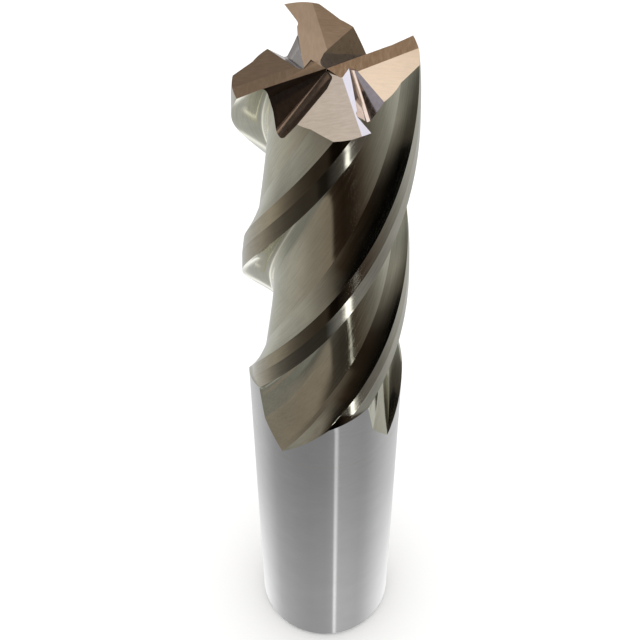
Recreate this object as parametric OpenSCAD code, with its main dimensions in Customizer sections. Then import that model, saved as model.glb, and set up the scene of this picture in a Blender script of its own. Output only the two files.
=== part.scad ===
// Four-flute, centre-cutting end mill with a brazed carbide head.
// The tool stands on its shank: the axis is Z, the shank's end face is z = 0
// and the cutting end points up. Right-hand helix, right-hand cut.

/* [Tool] */
// Diameter of the shank and over the cutting edges
cutter_d = 20; // [16:0.5:32]
// Overall length from the shank's end to the tip
overall_l = 120; // [100:1:160]
// Length of full relief on the lands
flute_l = 50; // [40:1:60]
// Angle of the flutes to the axis
helix_angle = 30; // [20:1:40]
// Direction of the first tooth's corner, seen from the tip
first_tooth = 26; // [0:1:89]

/* [Flute section] */
// Core diameter as a share of the cutter diameter
core_share = 0.64; // [0.55:0.01:0.7]
// Radial rake of the flute face
rake = 3; // [0:0.5:12]
// Width of the primary relief behind the cutting edge
primary_w = 1.9; // [0.8:0.05:2.5]
// Width of the whole land, up to the heel
land_w = 3.5; // [2.6:0.1:4.5]
// Radius at the foot of the flute face
flute_fillet = 1.0; // [0.5:0.1:2]

/* [End teeth] */
// Angle by which the end edges dip towards the centre
dish = 1.5; // [0:0.25:4]
// Relief right behind the end cutting edge
end_primary = 6; // [3:1:12]
// Relief on the rest of the end face
end_secondary = 10; // [6:1:20]
// Width of the end primary relief
end_primary_w = 1.7; // [0.8:0.1:3]
// How far the short teeth's inner edge runs ahead of the centre
short_lead = 2.1; // [0.5:0.05:2.5]
// Radius along the bottom of each gash
gash_r = 0.9; // [0.4:0.1:1.4]
// Depth of each gash where it opens into its flute
gash_depth = 4.6; // [3:0.1:6]

/* [Brazed joint] */
// Length of solid head below the flutes
collar_l = 1.2; // [0.8:0.1:6]
// Diameter of the head's spigot
spigot_d = 12; // [6:0.5:14]
// Length of the head's spigot
spigot_l = 16; // [8:0.5:25]
// Thickness of the braze film
braze_t = 0.1; // [0.05:0.01:0.25]

/* [Shank] */
// Chamfer at the end of the shank
foot_chamfer = 0.8; // [0.2:0.1:2]

/* [Hidden] */
$fn = 96;
teeth = 4;
pitch = 360 / teeth;
r_out = cutter_d / 2;
core_r = r_out * core_share;
lead = PI * cutter_d / tan(helix_angle);

// The run-out: where the flute leaves the outside, as depth from the tip
// against degrees behind the tooth in front. The heel side runs out last.
heel_exit = flute_l + 13.8;
exit_depth = [[0, flute_l + 2.6], [20, flute_l + 5.5], [30, heel_exit],
              [64, flute_l + 8.8], [pitch, flute_l + 2.6]];
flute_wheel_r = 41;
land_wheel_r = 8;
fluted_l = heel_exit + 0.2;
ring_step = 1.9;
rings = ceil(fluted_l / ring_step);
above_tip = 0.6;
ring_depths = concat([for (j = [0:rings]) j * (fluted_l + above_tip) / rings - above_tip],
                     [fluted_l + collar_l]);

// The flat of the head that stands on the shank
shoulder_z = overall_l - fluted_l - collar_l;
socket_d = spigot_d + 2 * braze_t;
socket_z = shoulder_z - spigot_l - braze_t;
shank_top = shoulder_z - braze_t;

// ---- flute section: one pitch, from a cutting edge back to the next one ----

function polar(r, a) = [r * cos(a), r * sin(a)];
function degrees_behind(width) = width / r_out * 180 / PI;

land_a = degrees_behind(primary_w);
heel_a = degrees_behind(land_w);
primary_r = 0.987 * r_out;
heel_r = 0.956 * r_out;

// The flute face leans back from the next edge, at angle -pitch
next_edge = polar(r_out, -pitch);
face_dir = -polar(1, -pitch + rake);
face_normal = polar(1, -pitch + rake + 90);

// Centre of the fillet that touches both the flute face and the core
fillet_from = next_edge + flute_fillet * face_normal;
fillet_b = fillet_from * face_dir;
fillet_c = fillet_from * fillet_from - pow(core_r + flute_fillet, 2);
fillet_at = fillet_from + (-fillet_b - sqrt(fillet_b * fillet_b - fillet_c)) * face_dir;
fillet_a0 = atan2(-fillet_at[1], -fillet_at[0]);
fillet_a1 = atan2(-face_normal[1], -face_normal[0]);
fillet_turn = (fillet_a1 - fillet_a0 + 540) % 360 - 180;

core_touch = fillet_at + polar(flute_fillet, fillet_a0);

// The back of the flute: it starts at a crease below the heel and lands on the
// core. The three angles are its start, the pull in the middle and its end.
back_r = 0.772 * r_out;
back_angles = [34.5, 70, 76];
function blended(abc, t) =
    pow(1 - t, 2) * abc[0] + 2 * t * (1 - t) * abc[1] + t * t * abc[2];
function back_curve(t) =
    polar(core_r + (back_r - core_r) * pow(1 - t, 2), -blended(back_angles, t));

section = concat(
    [polar(r_out, 0), polar((r_out + primary_r) / 2, -land_a / 2), polar(primary_r, -land_a)],
    [polar(heel_r, -heel_a)],
    [for (t = [0:0.25:1]) back_curve(t)],
    [for (t = [0:0.25:1]) fillet_at + polar(flute_fillet, fillet_a0 + t * fillet_turn)],
    [next_edge + 1.6 * face_dir]);

// ---- run-out: how much of the groove is left at a given depth ----

function behind(p) = -atan2(p[1], p[0]);
function left_of(groove, to_go, wheel_r) =
    let (run = sqrt(2 * wheel_r * groove))
    to_go <= 0 ? 0 : to_go >= run ? groove : to_go * (2 * run - to_go) / (2 * wheel_r);
// Where the groove has run out, the points of the flute face, which lie under
// the next edge, are spread evenly in front of it
fillet_k = 9;
function run_out_angle(k) = k < fillet_k
    ? behind(section[k])
    : lookup(k, [[fillet_k, behind(core_touch)], [len(section), pitch]]);

function at_depth(k, depth) =
    let (full = r_out - norm(section[k]))
    let (a = run_out_angle(k))
    let (wheel_r = k <= 3 ? land_wheel_r : flute_wheel_r)
    let (groove = left_of(full, lookup(a, exit_depth) - depth, wheel_r))
    let (share = full > 0 ? groove / full : 1)
    polar(r_out - groove, -share * behind(section[k]) - (1 - share) * a);

function ring(depth) = [
    for (i = [0:teeth - 1])
        for (k = [len(section) - 1:-1:0])
            let (turn = first_tooth + (i + 1) * pitch - depth * 360 / lead)
            let (p = at_depth(k, depth))
            [each polar(norm(p), turn - behind(p)), overall_l - depth]];

module helical_body() {
    count = teeth * len(section);
    points = [for (depth = ring_depths) each ring(depth)];
    sides = [
        for (j = [0:len(ring_depths) - 2])
            for (k = [0:count - 1])
                let (a = j * count + k, b = j * count + (k + 1) % count)
                each [[a, b, b + count], [a, b + count, a + count]]];
    tip = [[for (k = [0:count - 1]) count - 1 - k]];
    foot = [[for (k = [0:count - 1]) len(points) - count + k]];
    polyhedron(points, concat(tip, sides, foot), convexity = 12);
}

// ---- end teeth: even teeth reach the centre, odd teeth stop short of it ----

reach = r_out + 3;
function is_long(i) = i % 2 == 0;
function edge_plan(i) = is_long(i)
    ? [[reach, 0], [0.7 * r_out, 0], [0, 0]]
    : [[reach, 0], [0.7 * r_out, 0], [1, short_lead]];
function turned_back(p) = [p[1], -p[0]];
// Neighbouring cuts overlap by this much, so that no film is left between them
overcut = 0.03;

// Everything above the two relief planes of one tooth, back to the next edge
module relief_block(i) {
    mine = edge_plan(i);
    other = edge_plan((i + teeth - 1) % teeth);
    drop = end_primary_w * tan(end_primary);
    intersection() {
        translate([0, 0, -4])
            linear_extrude(8)
                polygon(concat([for (p = mine) [p[0], p[1] + overcut]], [[-overcut, 0]],
                               [for (k = [2:-1:0]) turned_back(other[k])],
                               [[reach, -reach]]));
        translate([r_out, 0, 0])
            rotate([0, -dish, 0])
                translate([-2 * reach, 0, 0])
                    rotate([90, 0, 90])
                        linear_extrude(4 * reach)
                            polygon([[3, 3 * tan(end_primary)],
                                     [-end_primary_w, -drop],
                                     [-reach, -drop - (reach - end_primary_w) * tan(end_secondary)],
                                     [-reach, 6], [3, 6]]);
    }
}

// The groove ground in front of one tooth's end edge. A long tooth's is round and
// wide from the centre on; a short tooth's starts in a point and is narrower.
module gash(i) {
    inner = is_long(i) ? [0.6, gash_r] : [0.9, short_lead + gash_r];
    edge_out = [0.7 * r_out, 0];
    edge_in = is_long(i) ? [0, 0] : [0.7, short_lead];
    far_in = is_long(i) ? [0.1, 2.1] : [1.9, 2.3];
    far_out = is_long(i) ? [5.6, 5.6] : [6.3, 4.2];
    hull() {
        translate([inner[0], inner[1], gash_r - 0.9])
            sphere(gash_r, $fn = 16);
        translate([0.645 * r_out, 2.4, gash_r - gash_depth])
            sphere(gash_r, $fn = 16);
        translate([1.1 * r_out, 3.4, gash_r - 1.8 * gash_depth])
            sphere(gash_r, $fn = 16);
        linear_extrude(2)
            polygon([edge_in, edge_out, [1.1 * r_out, 0], [1.1 * r_out, 6], far_out, far_in]);
    }
}

// ---- the pieces ----

module cutting_head() {
    color([0.55, 0.47, 0.36])
        difference() {
            union() {
                helical_body();
                translate([0, 0, shoulder_z - spigot_l])
                    cylinder(h = spigot_l + collar_l, d = spigot_d);
            }
            for (i = [0:teeth - 1])
                translate([0, 0, overall_l])
                    rotate(first_tooth + i * pitch) {
                        relief_block(i);
                        translate([0, -overcut, 0])
                            gash(i);
                    }
        }
}

// Filler metal: a ring under the shoulder, a sleeve and a disc under the spigot
module braze_joint() {
    color([0.80, 0.74, 0.58])
        difference() {
            union() {
                translate([0, 0, shank_top])
                    cylinder(h = braze_t, d = cutter_d);
                translate([0, 0, socket_z])
                    cylinder(h = shoulder_z - socket_z, d = socket_d);
            }
            translate([0, 0, socket_z + braze_t])
                cylinder(h = spigot_l + 1, d = spigot_d);
        }
}

module shank() {
    color([0.62, 0.62, 0.60])
        difference() {
            union() {
                cylinder(h = foot_chamfer, d1 = cutter_d - 2 * foot_chamfer, d2 = cutter_d);
                translate([0, 0, foot_chamfer])
                    cylinder(h = shank_top - foot_chamfer, d = cutter_d);
            }
            translate([0, 0, socket_z])
                cylinder(h = shank_top - socket_z + 1, d = socket_d);
        }
}

cutting_head();
braze_joint();
shank();
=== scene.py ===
"""A four-flute end mill that stands on its shank, on a pale studio floor.

The flutes, the end teeth, the joint and the shank are modelled finer than in the
CAD, in millimetres, and stand for its three nodes.
"""

import math

import bmesh
import bpy
import numpy as np
from mathutils import Matrix, Vector


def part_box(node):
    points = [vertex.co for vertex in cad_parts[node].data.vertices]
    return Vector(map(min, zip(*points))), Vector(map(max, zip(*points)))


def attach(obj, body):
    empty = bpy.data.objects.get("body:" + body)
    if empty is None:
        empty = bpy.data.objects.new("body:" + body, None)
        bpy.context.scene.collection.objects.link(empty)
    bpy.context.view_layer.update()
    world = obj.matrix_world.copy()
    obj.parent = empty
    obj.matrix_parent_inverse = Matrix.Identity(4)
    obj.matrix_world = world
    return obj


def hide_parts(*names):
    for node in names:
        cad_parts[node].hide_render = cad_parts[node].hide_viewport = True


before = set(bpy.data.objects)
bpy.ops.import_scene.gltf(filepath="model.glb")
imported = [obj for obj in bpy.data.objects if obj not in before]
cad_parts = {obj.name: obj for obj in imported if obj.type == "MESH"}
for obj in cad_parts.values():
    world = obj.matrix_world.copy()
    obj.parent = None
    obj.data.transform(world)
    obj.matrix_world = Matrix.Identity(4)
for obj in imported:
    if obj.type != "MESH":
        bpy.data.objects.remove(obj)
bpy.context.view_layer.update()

MM = 0.001


def node_mm(node):
    """A CAD node's lowest and highest corners, in millimetres."""
    return [[round(value / MM, 2) for value in corner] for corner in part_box(node)]


# ---- sizes, in millimetres and radians ----

R = node_mm("shank")[1][0]
LENGTH = round(node_mm("cutting_head")[1][2], 1)
SHANK_TOP = node_mm("shank")[1][2]
SHOULDER = node_mm("braze_joint")[1][2]
SOCKET_FLOOR = node_mm("braze_joint")[0][2]
SPIGOT_END = node_mm("cutting_head")[0][2]
SPIGOT_R = 6.0
SOCKET_R = 6.1
FOOT_CHAMFER = 0.8
ROUND = 240  # points round a turned piece
BALL_ROUND = 64  # points round a ball of a gash's groove

TEETH = 4
PITCH = 2 * math.pi / TEETH
FIRST_TOOTH = math.radians(26)
TWIST = math.tan(math.radians(30)) / R  # turn of the helix per millimetre of depth

# The flute's section, as angles behind the cutting edge and radii
CORE_R = 0.64 * R
RAKE = math.radians(3)
PRIMARY = (math.radians(10.9), 0.987 * R)  # end of the land's primary relief
HEEL = (math.radians(20.05), 0.956 * R)  # end of the secondary relief
CREASE = (math.radians(34.5), 0.772 * R)  # end of the flat flank behind the heel
BACK_PULL = math.radians(70)  # what bends the curve from the crease to the core
BACK_END = math.radians(76)
FILLET_R = 1.0

# How many points each part of the section has
LAND_POINTS = 5
FLANK_POINTS = 12
BACK_POINTS = 26
CORE_POINTS = 4
FILLET_POINTS = 16
FACE_POINTS = 8

# Depth at which the groove leaves the outside, against degrees behind the edge
LEAVES = ((0, 52.6), (20, 55.5), (30, 63.8), (64, 58.8), (90, 52.6))
FLUTE_WHEEL = 41.0  # radii of the wheels that run out of the flute and of the land
LAND_WHEEL = 8.0
ABOVE_TIP = 0.6  # how far the helix goes on above the tip, for the end teeth to cut
ROWS = 190  # rows of points above the run-out's edge, and below it
EXIT_ROWS = 8

# End teeth. The even ones are long and meet at the centre, the odd ones are short.
# Values in fours are tooth by tooth.
END_DISH = math.radians(1.5)
END_PRIMARY = math.radians(6)
END_SECONDARY = math.radians(10)
END_PRIMARY_W = (1.7, 3.1, 1.7, 1.0)
SHORT_INNER = 1.0  # inner end of a short tooth's edge, and how far ahead it lies
SHORT_LEAD = 2.1
SHORT_NOTCH = (1.87, 0.84)  # where a short tooth's land ends, behind its inner corner
GASH_DEPTH = (4.6, 3.7, 4.6, 2.7)
LAND_BEND = 0.7 * R  # where a short tooth's front border turns ahead
REACH = R + 3.0  # how far out the relief cutters go, and how far up
CUTTER_TOP = 4.0
OVERCUT = 0.03  # overlap that leaves no thin film between two cutters

# A gash's groove is a row of balls. It has the first ball's centre, the second one's
# x and y, two places along the top of its far side, and how far down its front wall is
# upright, at the centre and at the outside.
LONG_GROOVE = {"ball": 0.9, "start": (0.6, 0.9, 0.0), "middle": (0.645 * R, 2.4),
               "far_side": ((5.6, 5.6), (0.1, 2.1)), "upright": (0.65, 1.9)}
SHORT_GROOVE = {"ball": 0.3, "start": (1.5, 2.4, -0.2), "middle": (0.645 * R, 1.7),
                "far_side": ((5.5, 4.7), (1.9, 2.45)), "upright": (0.35, 1.45)}
BALL_GAP = 0.8  # from the second ball to the third, against the first gap
FACE_X = 0.76 * R  # where the gash's front wall meets the flute's face
OUTSIDE_X, OUTSIDE_Y = 1.1 * R, (0.15, 6.0)  # the gash's two corners outside the tool
GASH_TOP = 2.0
WALL_FACE = 0.4  # a face of a gash's front wall is larger than this, in mm2

# The head's surfaces, as places in its list of materials
(FLUTE, LAND, HEEL_LAND, GROUND, END_FRONT, END_BACK,
 PAINTED_SHADE_WALL, LONG_GASH_PAINTED_SHADE, SHORT_GASH) = range(9)


# ---- meshes ----


def new_object(name, points, faces, kinds=None):
    """A mesh object from points in millimetres."""
    mesh = bpy.data.meshes.new(name)
    mesh.from_pydata([tuple(p) for p in np.asarray(points) * MM], [], faces)
    if kinds is not None:
        mesh.polygons.foreach_set("material_index", kinds)
    mesh.update()
    made = bpy.data.objects.new(name, mesh)
    bpy.context.scene.collection.objects.link(made)
    return made


def polar(r, a):
    return np.stack([r * np.cos(a), r * np.sin(a)], axis=-1)


def steps(start, end, count):
    return np.linspace(start, end, count, endpoint=False)


def land_run(start, end, count):
    """Points between two (angle, radius) places with an even fall."""
    angles = steps(start[0], end[0], count)
    return polar(np.interp(angles, (start[0], end[0]), (start[1], end[1])), -angles)


def flute_fillet(edge, inward, normal):
    """Centre, first angle and turn of the fillet between the core and the face."""
    base = edge + FILLET_R * normal
    b = base @ inward
    c = base @ base - (CORE_R + FILLET_R) ** 2
    centre = base + (-b - math.sqrt(b * b - c)) * inward
    first = math.atan2(-centre[1], -centre[0])
    last = math.atan2(-normal[1], -normal[0])
    return centre, first, (last - first + 3 * math.pi) % (2 * math.pi) - math.pi


def flute_section():
    """One pitch of the section, from a cutting edge back to the next one.

    Returns the points, the kind of surface behind each point, how many points the
    land has and where the fillet starts.
    """
    edge = polar(R, -PITCH)
    inward = -polar(1.0, -PITCH + RAKE)
    centre, first, turn = flute_fillet(edge, inward, polar(1.0, -PITCH + RAKE + math.pi / 2))
    primary = land_run((0, R), PRIMARY, LAND_POINTS)
    secondary = land_run(PRIMARY, HEEL, LAND_POINTS)
    heel, crease = (polar(r, -a) for a, r in (HEEL, CREASE))
    flank = heel + (crease - heel) * steps(0, 1, FLANK_POINTS)[:, None]
    t = steps(0, 1, BACK_POINTS)
    back_a = (1 - t) ** 2 * CREASE[0] + 2 * t * (1 - t) * BACK_PULL + t * t * BACK_END
    back = polar(CORE_R + (CREASE[1] - CORE_R) * (1 - t) ** 2, -back_a)
    touch = centre + polar(FILLET_R, first)
    core = polar(CORE_R, -steps(BACK_END, -math.atan2(touch[1], touch[0]), CORE_POINTS))
    fillet = centre + polar(FILLET_R, first + turn * np.linspace(0, 1, FILLET_POINTS))
    face = fillet[-1] + (edge - fillet[-1]) * steps(0, 1, FACE_POINTS)[1:, None]
    parts = (primary, secondary, flank, back, core, fillet, face)
    kinds = [LAND] * len(primary) + [HEEL_LAND] * len(secondary)
    kinds += [FLUTE] * sum(len(part) for part in parts[2:])
    land_count = len(primary) + len(secondary) + 1
    return np.concatenate(parts), kinds, land_count, sum(len(part) for part in parts[:5])


def groove_left(full, to_go, wheel):
    """How deep a groove still is, this far before its end."""
    run = np.sqrt(2 * wheel * full)
    leaving = to_go * (2 * run - to_go) / (2 * wheel)
    return np.where(to_go <= 0, 0, np.where(to_go >= run, full, leaving))


def helical_rows():
    """Rows of points down the head, one right on the edge of the run-out, and the kinds
    of surface round one tooth.
    """
    section, kinds, land_count, fillet_from = flute_section()
    count = len(section)
    behind = np.arctan2(-section[:, 1], section[:, 0]) % (2 * math.pi)
    full = R - np.hypot(section[:, 0], section[:, 1])
    full[0] = 0.0
    # Once the groove has gone, the points of the flute face are spread evenly
    spread = behind.copy()
    spread[fillet_from:] = np.linspace(behind[fillet_from], PITCH, count - fillet_from + 1)[:-1]
    leaves = np.interp(np.degrees(spread), *zip(*LEAVES))
    wheel = np.where(np.arange(count) < land_count, LAND_WHEEL, FLUTE_WHEEL)
    foot = LENGTH - SHOULDER
    down = [s * (leaves + ABOVE_TIP) - ABOVE_TIP for s in np.linspace(0, 1, ROWS)]
    down += [leaves + t * (foot - leaves) for t in np.linspace(0, 1, EXIT_ROWS + 1)[1:]]
    rows = []
    for depth in down:
        groove = groove_left(full, leaves - depth, wheel)
        share = np.divide(groove, full, out=np.ones(count), where=full > 0)
        # Below the run-out the columns of points go straight down the cylinder
        twist = np.minimum(depth, leaves) * TWIST
        angle = -(share * behind + (1 - share) * spread) - twist + FIRST_TOOTH
        row = [
            np.column_stack([polar(R - groove, angle + (i + 1) * PITCH), LENGTH - depth])[::-1]
            for i in range(TEETH)
        ]
        rows.append(np.concatenate(row))
    return rows, kinds[-2::-1] + [FLUTE]


def at_radius(row, r, z):
    """The same row of points on a circle of another radius and height."""
    flat = row[:, :2] * (r / np.hypot(row[:, 0], row[:, 1]))[:, None]
    return np.column_stack([flat, np.full(len(row), z)])


def sweep(rows):
    """Closed rings of points, the top one first: the faces, capped at both ends."""
    count = len(rows[0])
    faces = []
    for j in range(len(rows) - 1):
        for k in range(count):
            a, b = j * count + k, j * count + (k + 1) % count
            faces.append((a, a + count, b + count, b))
    last = (len(rows) - 1) * count
    return faces + [tuple(range(count)), tuple(range(last + count - 1, last - 1, -1))]


def helical_body():
    rows, tooth_kinds = helical_rows()
    ring = rows[-1]
    rows += [at_radius(ring, SPIGOT_R, SHOULDER), at_radius(ring, SPIGOT_R, SPIGOT_END)]
    above_exit = tooth_kinds * TEETH * (ROWS - 1)
    caps = 2
    below = [GROUND] * (len(ring) * (len(rows) - ROWS) + caps)
    return new_object("end_mill_head", np.concatenate(rows), sweep(rows), above_exit + below)


# ---- end teeth, each in its own frame: x out along its edge, y ahead of it ----


def is_long(i):
    return i % 2 == 0


def edge_plan(i):
    """The front border of a tooth's end land, from outside to the centre."""
    inner = [(0.0, 0.0)] if is_long(i) else [(SHORT_INNER, SHORT_LEAD), SHORT_NOTCH]
    return [(REACH, 0.0), (LAND_BEND, 0.0)] + inner


def edge_slope(i):
    """How fast a tooth's end edge comes ahead towards the centre."""
    return 0.0 if is_long(i) else SHORT_LEAD / (R - SHORT_INNER)


def relief_height(i, x, y):
    """The end relief of a tooth, as height above the tip."""
    ahead = y - edge_slope(i) * (R - x)
    primary = max(ahead, -END_PRIMARY_W[i]) * math.tan(END_PRIMARY)
    secondary = min(ahead + END_PRIMARY_W[i], 0) * math.tan(END_SECONDARY)
    return primary + secondary - (R - x) * math.tan(END_DISH)


def relief_cutter(i):
    """Everything above one tooth's two relief planes, back to the next edge."""
    border = (edge_slope(i), 1.0)
    mine, other = edge_plan(i), edge_plan((i + TEETH - 1) % TEETH)
    plan = [(x - OVERCUT, y + OVERCUT) for x, y in mine] + [(-OVERCUT, 0.0)]
    plan += [(y, -x) for x, y in reversed(other)] + [(REACH, -REACH)]
    shape = bmesh.new()
    shape.faces.new([shape.verts.new((x, y, 0)) for x, y in plan])
    bmesh.ops.triangulate(shape, faces=shape.faces[:])
    bmesh.ops.bisect_plane(
        shape, geom=shape.faces[:] + shape.edges[:] + shape.verts[:], dist=1e-6,
        plane_co=(R, -END_PRIMARY_W[i], 0), plane_no=(*border, 0))
    raised = bmesh.ops.extrude_face_region(shape, geom=shape.faces[:])
    top = {v for v in raised["geom"] if isinstance(v, bmesh.types.BMVert)}
    for vert in shape.verts:
        vert.co.z = CUTTER_TOP if vert in top else relief_height(i, vert.co.x, vert.co.y)
    bmesh.ops.recalc_face_normals(shape, faces=shape.faces[:])
    for face in shape.faces:
        ahead = face.calc_center_median().dot(Vector((*border, 0))) - border[0] * R
        relief = END_FRONT if ahead > -END_PRIMARY_W[i] else END_BACK
        # Upright faces get the near-black wall colour, which is painted shade
        face.material_index = relief if abs(face.normal.z) > 0.5 else PAINTED_SHADE_WALL
    return placed_cutter(shape, i, "relief")


def towards(azimuth, elevation):
    """The direction of two angles in radians, 1 long."""
    flat = math.cos(elevation)
    return Vector((math.cos(azimuth) * flat, math.sin(azimuth) * flat, math.sin(elevation)))


def ball(centre, radius):
    """Points evenly over a ball."""
    around = steps(0, 2 * math.pi, BALL_ROUND)
    upward = np.linspace(-math.pi / 2, math.pi / 2, BALL_ROUND // 2 + 1)
    return [centre + radius * towards(a, e) for a in around for e in upward]


def gash_points(i):
    """Points round one tooth's gash: three balls, the outline at the tip's height and
    above it, and the foot of the upright front wall.
    """
    groove = LONG_GROOVE if is_long(i) else SHORT_GROOVE
    r, (centre_depth, outer_depth) = groove["ball"], groove["upright"]
    start, middle = Vector(groove["start"]), Vector((*groove["middle"], r - GASH_DEPTH[i]))
    front, far = OUTSIDE_Y
    wall = [edge_plan(i)[2], (FACE_X, (FACE_X - R) * math.tan(RAKE)), (OUTSIDE_X, front)]
    top = wall + [(OUTSIDE_X, far), *groove["far_side"]]
    end = middle + BALL_GAP * (middle - start)
    points = [point for centre in (start, middle, end) for point in ball(centre, r)]
    points += [Vector((x, y, z)) for x, y in top for z in (0.0, GASH_TOP)]
    depths = (centre_depth, outer_depth, outer_depth)
    return points + [Vector((x, y, -depth)) for (x, y), depth in zip(wall, depths)]


def gash_cutter(i):
    """The convex groove in front of one tooth's end edge.

    A long tooth's front wall has painted shade, a near-black colour; a short tooth's is an open V
    of one kind.
    """
    shape = bmesh.new()
    for point in gash_points(i):
        shape.verts.new(point - Vector((0, OVERCUT, 0)))
    hull = bmesh.ops.convex_hull(shape, input=shape.verts[:])
    spare = {v for v in hull["geom_interior"] + hull["geom_unused"]
             if isinstance(v, bmesh.types.BMVert)}
    bmesh.ops.delete(shape, geom=list(spare), context="VERTS")
    bmesh.ops.recalc_face_normals(shape, faces=shape.faces[:])
    for face in shape.faces:
        wall = is_long(i) and face.calc_area() > WALL_FACE and face.normal.y < -0.5
        # The long gashes' dark brown floor is painted shade
        floor = LONG_GASH_PAINTED_SHADE if is_long(i) else SHORT_GASH
        # A long tooth's front wall gets the near-black colour, painted shade
        face.material_index = PAINTED_SHADE_WALL if wall else floor
    return placed_cutter(shape, i, "gash")


def placed_cutter(shape, i, name):
    """The shape as an object, turned to its tooth and raised to the tip."""
    bmesh.ops.transform(
        shape, verts=shape.verts[:],
        matrix=Matrix.Diagonal((MM, MM, MM, 1))
        @ Matrix.Translation((0, 0, LENGTH))
        @ Matrix.Rotation(FIRST_TOOTH + i * PITCH, 4, "Z"))
    mesh = bpy.data.meshes.new(name)
    shape.to_mesh(mesh)
    shape.free()
    made = bpy.data.objects.new(name, mesh)
    bpy.context.scene.collection.objects.link(made)
    return made


def cut_away(body, cutters):
    """Cuts the shapes out of the body and drops them."""
    for cutter in cutters:
        for material in body.data.materials:
            cutter.data.materials.append(material)
        step = body.modifiers.new(cutter.name, "BOOLEAN")
        step.operation = "DIFFERENCE"
        step.solver = "MANIFOLD"
        step.object = cutter
    depsgraph = bpy.context.evaluated_depsgraph_get()
    result = bpy.data.meshes.new_from_object(body.evaluated_get(depsgraph))
    body.modifiers.clear()
    body.data = result
    for cutter in cutters:
        bpy.data.objects.remove(cutter)


def shade(body, crease):
    """Smooth shading, with sharp edges from this angle on and between kinds of surface."""
    mesh = body.data
    mesh.shade_smooth()
    shape = bmesh.new()
    shape.from_mesh(mesh)
    for edge in shape.edges:
        faces = edge.link_faces
        kinds = {face.material_index for face in faces}
        edge.smooth = len(kinds) == 1 and len(faces) == 2 and edge.calc_face_angle(0) < crease
    shape.to_mesh(mesh)
    shape.free()


def lathe(name, profile):
    """A body of revolution from a closed (radius, height) profile."""
    around = steps(0, 2 * math.pi, ROUND)
    points, rings = [], []
    for r, z in profile:
        size = ROUND if r > 0 else 1
        rings.append([len(points) + k for k in range(size)])
        points += [(r * math.cos(a), r * math.sin(a), z) for a in around[:size]]
    faces = []
    for low, high in zip(rings, rings[1:] + rings[:1]):
        if len(low) == len(high) == 1:
            continue
        for k in range(ROUND):
            n = (k + 1) % ROUND
            corners = [ring[at % len(ring)]
                       for ring, at in ((low, k), (low, n), (high, n), (high, k))]
            faces.append(tuple(dict.fromkeys(corners)))
    return new_object(name, points, faces)


# ---- materials ----

# Lengths are in metres here and the scales of patterns per metre
CLOUD_SCALE = 260.0
NOISE_LOW, NOISE_HIGH = 0.3, 0.7  # where nearly all values of a noise lie
LINE_SHARE = 0.6  # of the tone that comes from the grinding lines, not from the clouds
LINE_DEPTH = 0.00002
ROUGHNESS_SPREAD = 0.06
PAINTED_REFLECTION_TINT = (1.0, 0.9, 0.75)  # painted dark reflection is a little browner


class Nodes:
    """Short names for making the nodes of a material or of the world."""

    def __init__(self, tree):
        self.tree = tree
        tree.nodes.clear()

    def add(self, kind, inputs=None, **settings):
        made = self.tree.nodes.new(kind)
        for key, value in settings.items():
            setattr(made, key, value)
        for key, value in (inputs or {}).items():
            if isinstance(value, bpy.types.NodeSocket):
                self.tree.links.new(value, made.inputs[key])
            else:
                made.inputs[key].default_value = value
        return made

    def math(self, operation, *values):
        numbered = dict(enumerate(values))
        return self.add("ShaderNodeMath", numbered, operation=operation).outputs[0]

    def scaled(self, vector, scale):
        return self.add("ShaderNodeMapping", {"Vector": vector, "Scale": scale}).outputs[0]

    def noise(self, vector, scale, detail):
        inputs = {"Vector": vector, "Scale": scale, "Detail": detail}
        return self.add("ShaderNodeTexNoise", inputs).outputs["Fac"]

    def ramp(self, factor, stops):
        """A colour ramp of (position, colour) stops."""
        made = self.add("ShaderNodeValToRGB", {"Fac": factor})
        elements = made.color_ramp.elements
        while len(elements) < len(stops):
            elements.new(0.5)
        for element, (position, colour) in zip(elements, stops):
            element.position = position
            element.color = (*colour, 1.0)
        return made.outputs["Color"]

    def by_azimuth(self, axes, stops):
        """A colour ramp round the upright axis, of (degrees, colour) stops."""
        turn = self.math("ARCTAN2", axes["Y"], axes["X"])
        stops = [((azimuth + 180) / 360, colour) for azimuth, colour in stops]
        return self.ramp(self.range(turn, -math.pi, math.pi), stops)

    def range(self, value, from_low, from_high, to_low=0.0, to_high=1.0):
        inputs = {"Value": value, "From Min": from_low, "From Max": from_high,
                  "To Min": to_low, "To Max": to_high}
        return self.add("ShaderNodeMapRange", inputs).outputs[0]


def straightened(nodes, position):
    """The head's helix untwisted, so that grinding lines along a flute are upright."""
    height = nodes.add("ShaderNodeSeparateXYZ", {"Vector": position}).outputs["Z"]
    angle = nodes.math("MULTIPLY", height, -TWIST / MM)
    inputs = {"Vector": position, "Angle": angle}
    return nodes.add("ShaderNodeVectorRotate", inputs, rotation_type="Z_AXIS").outputs[0]


def painted_dark_reflection(nodes, stops):
    """Painted dark reflection: the colour to multiply by, from stops of the azimuth faced and the
    share left.
    """
    normal = nodes.add("ShaderNodeTexCoord").outputs["Normal"]
    facing = nodes.add("ShaderNodeSeparateXYZ", {"Vector": normal}).outputs
    return nodes.by_azimuth(facing, [
        (azimuth, [left * tint for tint in PAINTED_REFLECTION_TINT] if left < 1 else (1, 1, 1))
        for azimuth, left in stops])


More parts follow.
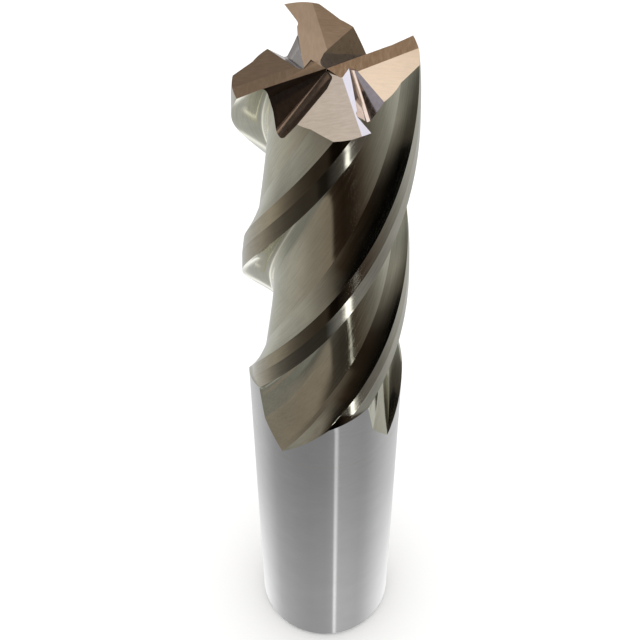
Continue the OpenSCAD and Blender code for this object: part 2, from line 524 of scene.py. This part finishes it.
def ground_metal(name, base, roughness, lines, contrast=0.12, bump=0.05, twisted=False,
                 painted_reflection=None):
    """Ground metal: fine grinding lines over a faint cloudy tone.

    lines is the scale of the lines along x, y and z: the smaller, the longer the lines.
    The last argument paints dark reflection: how dark the metal is by the direction it faces, as
    stops of azimuth and share left.
    """
    material = bpy.data.materials.new(name)
    material.use_nodes = True
    nodes = Nodes(material.node_tree)
    position = nodes.add("ShaderNodeTexCoord").outputs["Object"]
    along = straightened(nodes, position) if twisted else position
    fine = nodes.noise(nodes.scaled(along, lines), 1.0, detail=4.0)
    cloud = nodes.noise(position, CLOUD_SCALE, detail=2.0)
    mix = nodes.math("ADD", nodes.math("MULTIPLY", fine, LINE_SHARE),
                     nodes.math("MULTIPLY", cloud, 1 - LINE_SHARE))
    low = [channel * (1 - contrast) for channel in base]
    high = [min(channel * (1 + contrast), 1.0) for channel in base]
    colour = nodes.ramp(mix, [(NOISE_LOW, low), (NOISE_HIGH, high)])
    # Painted dark reflection, multiplied into the colour by the direction faced
    if painted_reflection:
        inputs = {0: 1.0, 6: colour, 7: painted_dark_reflection(nodes, painted_reflection)}
        colour = nodes.add("ShaderNodeMix", inputs, data_type="RGBA",
                           blend_type="MULTIPLY").outputs[2]
    half = ROUGHNESS_SPREAD / 2
    rough = nodes.range(fine, NOISE_LOW, NOISE_HIGH, roughness - half, roughness + half)
    relief = nodes.add("ShaderNodeBump", {"Strength": bump, "Distance": LINE_DEPTH, "Height": fine})
    shader = nodes.add("ShaderNodeBsdfPrincipled", {
        "Base Color": colour, "Roughness": rough, "Metallic": 1.0, "Normal": relief.outputs[0]})
    nodes.add("ShaderNodeOutputMaterial", {"Surface": shader.outputs[0]})
    return material


CARBIDE = (0.70, 0.685, 0.54)
STEEL = (0.68, 0.68, 0.68)
ROUND_LINES = (300, 300, 9000)
GASH_LINES = (2600, 2600, 1500)

# The real lands mirror something dark on one side. Their own colour carries it here as painted dark
# reflection, by the direction they face.
LAND_PAINTED_REFLECTION = ((-180, 1.0), (-140, 0.85), (-128, 0.45), (-120, 0.28), (-108, 0.16),
                 (-94, 0.16), (-86, 1.0), (180, 1.0))
ON_LANDS = {"roughness": 0.12, "lines": (4200, 4200, 420), "twisted": True,
            "painted_reflection": LAND_PAINTED_REFLECTION}

# In the order of the head's surfaces
HEAD_MATERIALS = [
    ground_metal("flute_ground", CARBIDE, 0.10, (5200, 5200, 260), twisted=True, bump=0.02),
    ground_metal("land_ground", (0.66, 0.64, 0.54), **ON_LANDS),
    ground_metal("heel_ground", (0.68, 0.66, 0.55), **ON_LANDS),
    ground_metal("neck_ground", STEEL, 0.09, ROUND_LINES, contrast=0.05),
    ground_metal("end_relief", (0.72, 0.66, 0.55), 0.10, (3800, 900, 2000), contrast=0.08),
    ground_metal("end_clearance", (0.72, 0.66, 0.55), 0.12, (900, 3800, 2000), contrast=0.10),
    # Near-black walls: painted shade
    ground_metal("gash_wall_painted_shade", (0.09, 0.08, 0.075), 0.14, GASH_LINES, contrast=0.15),
    # Dark brown floor of the long gashes: painted shade
    ground_metal("long_gash_painted_shade", (0.36, 0.30, 0.245), 0.30, GASH_LINES, contrast=0.15),
    ground_metal("short_gash", (0.72, 0.67, 0.64), 0.13, GASH_LINES, contrast=0.10),
]


# ---- the pieces ----


def make_head():
    head = helical_body()
    for material in HEAD_MATERIALS:
        head.data.materials.append(material)
    cutters = [make(i) for make in (relief_cutter, gash_cutter) for i in range(TEETH)]
    cut_away(head, cutters)
    shade(head, math.radians(12))
    return head


def make_braze():
    profile = [
        (SOCKET_R, SOCKET_FLOOR), (SOCKET_R, SHANK_TOP), (R, SHANK_TOP), (R, SHOULDER),
        (SPIGOT_R, SHOULDER), (SPIGOT_R, SPIGOT_END), (0, SPIGOT_END), (0, SOCKET_FLOOR)]
    braze = lathe("braze_ring", profile)
    braze.data.materials.append(
        ground_metal("braze_ground", (0.68, 0.66, 0.60), 0.14, ROUND_LINES, contrast=0.05))
    shade(braze, math.radians(30))
    return braze


def make_shank():
    profile = [
        (R - FOOT_CHAMFER, 0), (R, FOOT_CHAMFER), (R, SHANK_TOP), (SOCKET_R, SHANK_TOP),
        (SOCKET_R, SOCKET_FLOOR), (0, SOCKET_FLOOR), (0, 0)]
    shank = lathe("end_mill_shank", profile)
    shank.data.materials.append(
        ground_metal("shank_ground", STEEL, 0.10, ROUND_LINES, contrast=0.05))
    shade(shank, math.radians(30))
    return shank


PIECES = (
    (make_head(), "cutting_head", "carbide_head"),
    (make_braze(), "braze_joint", "braze"),
    (make_shank(), "shank", "shank_steel"),
)
for piece, node, slot in PIECES:
    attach(piece, "root")
    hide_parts(node)


# ---- studio ----


def make_floor():
    """White paper that the metal doesn't mirror."""
    size = 3000.0
    floor = new_object(
        "floor", [(-size, -size, 0), (size, -size, 0), (size, size, 0), (-size, size, 0)],
        [(0, 1, 2, 3)])
    paper = bpy.data.materials.new("paper")
    paper.use_nodes = True
    nodes = Nodes(paper.node_tree)
    shader = nodes.add("ShaderNodeBsdfPrincipled", {
        "Base Color": (0.92, 0.92, 0.91, 1), "Roughness": 0.9, "Specular IOR Level": 0.1})
    nodes.add("ShaderNodeOutputMaterial", {"Surface": shader.outputs[0]})
    floor.data.materials.append(paper)
    floor.visible_glossy = False


SCREEN_GAMMA = 2.2
REFLECTED = 0.7  # the share of light that the metal gives back
BROWN_LOSS = (0.0, 0.40, 0.65)


def tone(level, warmth):
    """Light that the metal shows at this level on a screen, from neutral to brown."""
    strength = level ** SCREEN_GAMMA / REFLECTED
    return tuple(strength * (1 - loss * warmth) for loss in BROWN_LOSS)


# What the polished surfaces see around the tool: rings of an elevation in degrees, a
# gain and stops of azimuth, level and warmth
BELOW = ((-180, .61, 0), (-165, .57, 0), (-140, .535, 0), (-118, .52, 0), (-90, .53, 0),
         (-77, .56, 0), (-75, .84, 0), (-72, .84, 0), (-69, .62, 0), (-31, .588, 0),
         (-20, .605, 0), (-8, .65, 0), (8, .71, 0), (25, .76, 0), (47, .80, 0), (90, .84, 0),
         (133, .80, 0), (153, .74, 0), (168, .67, 0), (180, .61, 0))
AROUND = (
    (-76, 1.0, ((-180, .50, 0), (-120, .42, .1), (-60, .42, .1), (0, .46, 0), (60, .56, 0),
                (100, .58, 0), (150, .56, 0), (180, .50, 0))),
    (-70, 1.0, ((-180, .54, 0), (-120, .48, 0), (-60, .48, 0), (0, .52, 0), (60, .57, 0),
                (100, .60, 0), (150, .59, 0), (180, .54, 0))),
    (-66, 1.12, BELOW),
    (-61, 0.90, BELOW),
    (-52, 0.78, BELOW),
    (-43, 1.0, ((-180, .59, .1), (-165, .55, .15), (-150, .50, .2), (-135, .475, .3),
                (-110, .46, .4), (-105, .19, .8), (-90, .14, .9), (-75, .16, .9),
                (-60, .24, .7), (-45, .30, .4), (-30, .36, .2), (-15, .45, .1), (0, .54, 0),
                (15, .57, 0), (45, .62, 0), (90, .66, 0), (120, .66, 0), (150, .61, 0),
                (180, .59, .1))),
    (-24, 1.0, ((-180, .49, .1), (-165, .42, .2), (-150, .35, .3), (-135, .20, .8),
                (-120, .16, .8), (-105, .15, .8), (-90, .14, .8), (-75, .16, .6),
                (-60, .26, .3), (-45, .40, .2), (-30, .50, .1), (-15, .46, 0), (0, .50, 0),
                (30, .58, 0), (90, .62, 0), (118, .43, .1), (145, .40, .1), (165, .50, 0),
                (180, .49, .1))),
    (-14, 1.0, ((-180, .45, .2), (-165, .42, .2), (-155, .28, .4), (-148, .10, .6),
                (-140, .03, .6), (-60, .02, .6), (-52, .08, .4), (-45, .22, .3),
                (-30, .25, .2), (-15, .30, .1), (0, .42, 0), (30, .50, 0), (90, .53, 0),
                (130, .43, .2), (165, .45, .1), (180, .45, .2))),
)
# The same overhead: elevation, level and warmth
OVERHEAD = ((0, .12, .6), (24, .38, .65), (34, .41, .65), (38, .46, .75), (42, .58, .57),
            (50, .69, .45), (54, .56, .7), (58, .48, .85), (60, .55, .8), (64, .93, .33),
            (90, .93, .3))
SOFT_LIGHT = 1.3
HORIZON = (-4, 8)  # between these elevations the rings give way to the tones overhead
SOFT_RIM = (1.3, 0.7)  # its outside and inside, against a spot's half width
# Round spots in those tones: azimuth, elevation and half width in degrees, and colour.
# The first two make the highlights on the lands. The others are what single facets of
# the end teeth and their gashes mirror.
SPOTS = (
    (-68, -50, 2.6, (2.5, 2.5, 2.5)),
    (-73, -46.2, 1.9, (2.6, 2.6, 2.6)),
    (114, 46, 5.5, (0.68, 0.62, 0.60)),
    (5, -5, 14, (0.30, 0.24, 0.165)),
    (102, 45, 4.5, (1.12, 1.18, 1.60)),
    (8, 64, 11, (1.6, 1.6, 1.6)),
    (-165, 36, 9, (0.34, 0.33, 0.38)),
)


def blend(nodes, factor, low, high):
    mix = nodes.add("ShaderNodeMix", {0: factor, 6: low, 7: high}, data_type="RGBA")
    return mix.outputs[2]


def inside_spot(nodes, direction, azimuth, elevation, half_width):
    """1 inside a round spot, falling to 0 over its soft rim."""
    inputs = {0: direction, 1: towards(math.radians(azimuth), math.radians(elevation))}
    near = nodes.add("ShaderNodeVectorMath", inputs, operation="DOT_PRODUCT").outputs["Value"]
    rim, core = (math.cos(math.radians(half_width * share)) for share in SOFT_RIM)
    return nodes.range(near, rim, core)


def make_world():
    """Plain soft light, and for reflections the tones of the room round the tool."""
    world = bpy.data.worlds.new("studio")
    bpy.context.scene.world = world
    world.use_nodes = True
    nodes = Nodes(world.node_tree)
    direction = nodes.add("ShaderNodeTexCoord").outputs["Generated"]
    axes = nodes.add("ShaderNodeSeparateXYZ", {"Vector": direction}).outputs
    rise = nodes.math("DEGREES", nodes.math("ARCSINE", axes["Z"]))

    rings = [
        (elevation, nodes.by_azimuth(axes, [
            (azimuth, tone(gain * level, warmth)) for azimuth, level, warmth in stops]))
        for elevation, gain, stops in AROUND
    ]
    below, seen = rings[0]
    for elevation, ring in rings[1:]:
        seen = blend(nodes, nodes.range(rise, below, elevation), seen, ring)
        below = elevation
    upward = [(elevation / 90, tone(*light)) for elevation, *light in OVERHEAD]
    overhead = nodes.ramp(nodes.range(rise, 0, 90), upward)
    seen = blend(nodes, nodes.range(rise, *HORIZON), seen, overhead)
    for azimuth, elevation, half_width, colour in SPOTS:
        spot = inside_spot(nodes, direction, azimuth, elevation, half_width)
        seen = blend(nodes, spot, seen, (*colour, 1))

    path = nodes.add("ShaderNodeLightPath").outputs
    plain = nodes.add("ShaderNodeBackground", {"Color": (1, 1, 1, 1), "Strength": SOFT_LIGHT})
    mirrored = nodes.add("ShaderNodeBackground", {"Color": seen, "Strength": 1.0})
    both = nodes.add("ShaderNodeMixShader", {
        0: path["Is Glossy Ray"], 1: plain.outputs[0], 2: mirrored.outputs[0]})
    nodes.add("ShaderNodeOutputWorld", {"Surface": both.outputs[0]})


# The camera that was fitted to the photo
CAMERA_PLACE = Vector((-0.73, -111.96, 236.50))
CAMERA_TARGET = Vector((-0.73, 0.0, 74.77))
CAMERA_ROLL = math.radians(-0.185)
CAMERA_LENS = 88.3


def make_camera():
    data = bpy.data.cameras.new("camera")
    camera = bpy.data.objects.new("camera", data)
    bpy.context.scene.collection.objects.link(camera)
    facing = (CAMERA_TARGET - CAMERA_PLACE).to_track_quat("-Z", "Y").to_matrix().to_4x4()
    roll = Matrix.Rotation(CAMERA_ROLL, 4, "Z")
    camera.matrix_world = Matrix.Translation(CAMERA_PLACE * MM) @ facing @ roll
    data.sensor_width = 36.0
    data.lens = CAMERA_LENS
    data.clip_start = 0.01
    bpy.context.scene.camera = camera


make_floor()
make_world()
make_camera()
bpy.context.scene.view_settings.view_transform = "Standard"
